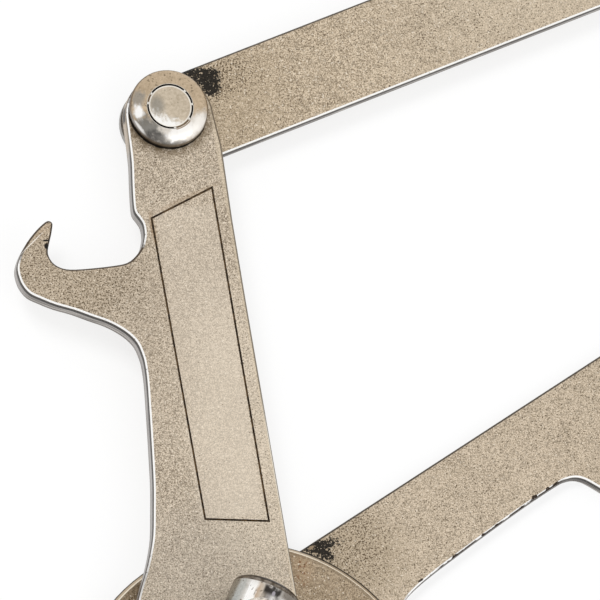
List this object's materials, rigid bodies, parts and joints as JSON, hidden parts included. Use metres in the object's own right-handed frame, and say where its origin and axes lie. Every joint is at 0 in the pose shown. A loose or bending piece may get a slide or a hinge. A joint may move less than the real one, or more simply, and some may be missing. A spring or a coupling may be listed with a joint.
{
  "type": "lever corkscrew",
  "caption": "Folding lever corkscrew of flat nickel-plated steel bars, with a helical worm, a neck stand, a cap-lifting hook and a swinging grip bar.",
  "frame": {"origin": "on the hub axis, in the plane of the grip bar's back face, on which the tool lies", "axes": "+Y from the hub to the stand rivet, +Z out of the front of the tool, +X towards the side where the stand and the grip bar lie open"},
  "size_m": [0.1131, 0.1485, 0.0168],
  "materials": {
    "worn_nickel": "worn nickel plate, finely pitted",
    "bright_nickel": "rubbed nickel plate, bright on its rims",
    "plain_steel": "plain steel, smooth"
  },
  "bodies": {
    "lever": {"hook_lever": "worn_nickel", "hub_disc": "worn_nickel", "hub_rivet": "plain_steel", "stand_rivet": "plain_steel", "stand_front_washer": "bright_nickel", "stand_rear_washer": "plain_steel", "grip_stop_stud": "plain_steel", "worm_pin": "plain_steel"},
    "stand": {"neck_stand": "worn_nickel"},
    "grip": {"grip_bar": "worn_nickel"},
    "worm_unit": {"worm_barrel": "bright_nickel", "shank_peg": "plain_steel", "worm": "plain_steel"}
  },
  "joints": [
    {"name": "stand_hinge", "type": "hinge", "parent": "lever", "child": "stand", "pos_m": [0, 0.0782, 0.0033], "axis": [0, 0, 1], "range_deg": [-84.2, 232.8]},
    {"name": "grip_hinge", "type": "hinge", "parent": "lever", "child": "grip", "pos_m": [0, 0, 0.001], "axis": [0, 0, 1], "range_deg": [-117.2, 48]},
    {"name": "worm_hinge", "type": "hinge", "parent": "lever", "child": "worm_unit", "pos_m": [-0.00045, 0.0093, 0.0118], "axis": [0, 0, 1], "continuous": true}
  ]
}
